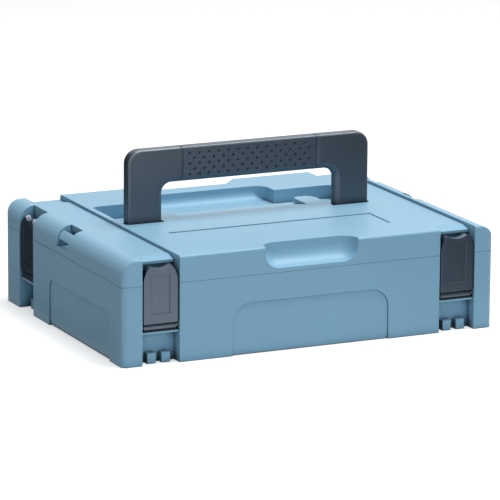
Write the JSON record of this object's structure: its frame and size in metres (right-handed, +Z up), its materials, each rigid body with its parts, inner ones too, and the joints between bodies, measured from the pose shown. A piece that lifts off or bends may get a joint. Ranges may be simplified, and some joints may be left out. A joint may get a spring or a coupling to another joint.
{
  "type": "hard tool case",
  "caption": "Stackable moulded tool case with a hinged lid, pivoting latches on the front and sides, and a carry handle that folds into the lid.",
  "frame": {"origin": "centre of the underside, on the surface that the case stands on", "axes": "+X to the right along the case's width, +Y from the front with the two latches to the hinged back, +Z up"},
  "size_m": [0.395, 0.295, 0.1759],
  "materials": {
    "shell": "finely textured moulded plastic, grey-blue",
    "handle": "smooth satin moulded plastic, blue-black",
    "grip": "dimpled satin plastic, blue-black",
    "latch": "satin moulded plastic, anthracite",
    "steel": "plain drawn steel"
  },
  "bodies": {
    "base": {"base_shell": "shell", "hinge_pin_left": "steel", "hinge_pin_right": "steel", "latch_pin_front_left": "steel", "latch_pin_front_right": "steel", "latch_pin_side_left": "steel", "latch_pin_side_right": "steel"},
    "lid": {"lid_shell": "shell", "handle_pin_left": "steel", "handle_pin_right": "steel"},
    "handle": {"handle_bow": "handle", "handle_grip": "grip"},
    "latch_front_left": {"latch_front_left": "latch"},
    "latch_front_right": {"latch_front_right": "latch"},
    "latch_side_left": {"latch_side_left": "latch"},
    "latch_side_right": {"latch_side_right": "latch"}
  },
  "joints": [
    {"name": "lid_open", "type": "hinge", "parent": "base", "child": "lid", "pos_m": [0, 0.1445, 0.0775], "axis": [-1, 0, 0], "range_deg": [0, 95]},
    {"name": "handle_fold", "type": "hinge", "parent": "lid", "child": "handle", "pos_m": [0, -0.0005, 0.0963], "axis": [-1, 0, 0], "range_deg": [0, 90]},
    {"name": "front_left_latch_open", "type": "hinge", "parent": "base", "child": "latch_front_left", "pos_m": [-0.1577, -0.1421, 0.036], "axis": [1, 0, 0], "range_deg": [0, 90]},
    {"name": "front_right_latch_open", "type": "hinge", "parent": "base", "child": "latch_front_right", "pos_m": [0.1577, -0.1421, 0.036], "axis": [1, 0, 0], "range_deg": [0, 90]},
    {"name": "side_left_latch_open", "type": "hinge", "parent": "base", "child": "latch_side_left", "pos_m": [-0.1921, 0.093, 0.036], "axis": [0, -1, 0], "range_deg": [0, 90]},
    {"name": "side_right_latch_open", "type": "hinge", "parent": "base", "child": "latch_side_right", "pos_m": [0.1921, 0.093, 0.036], "axis": [0, 1, 0], "range_deg": [0, 90]}
  ]
}
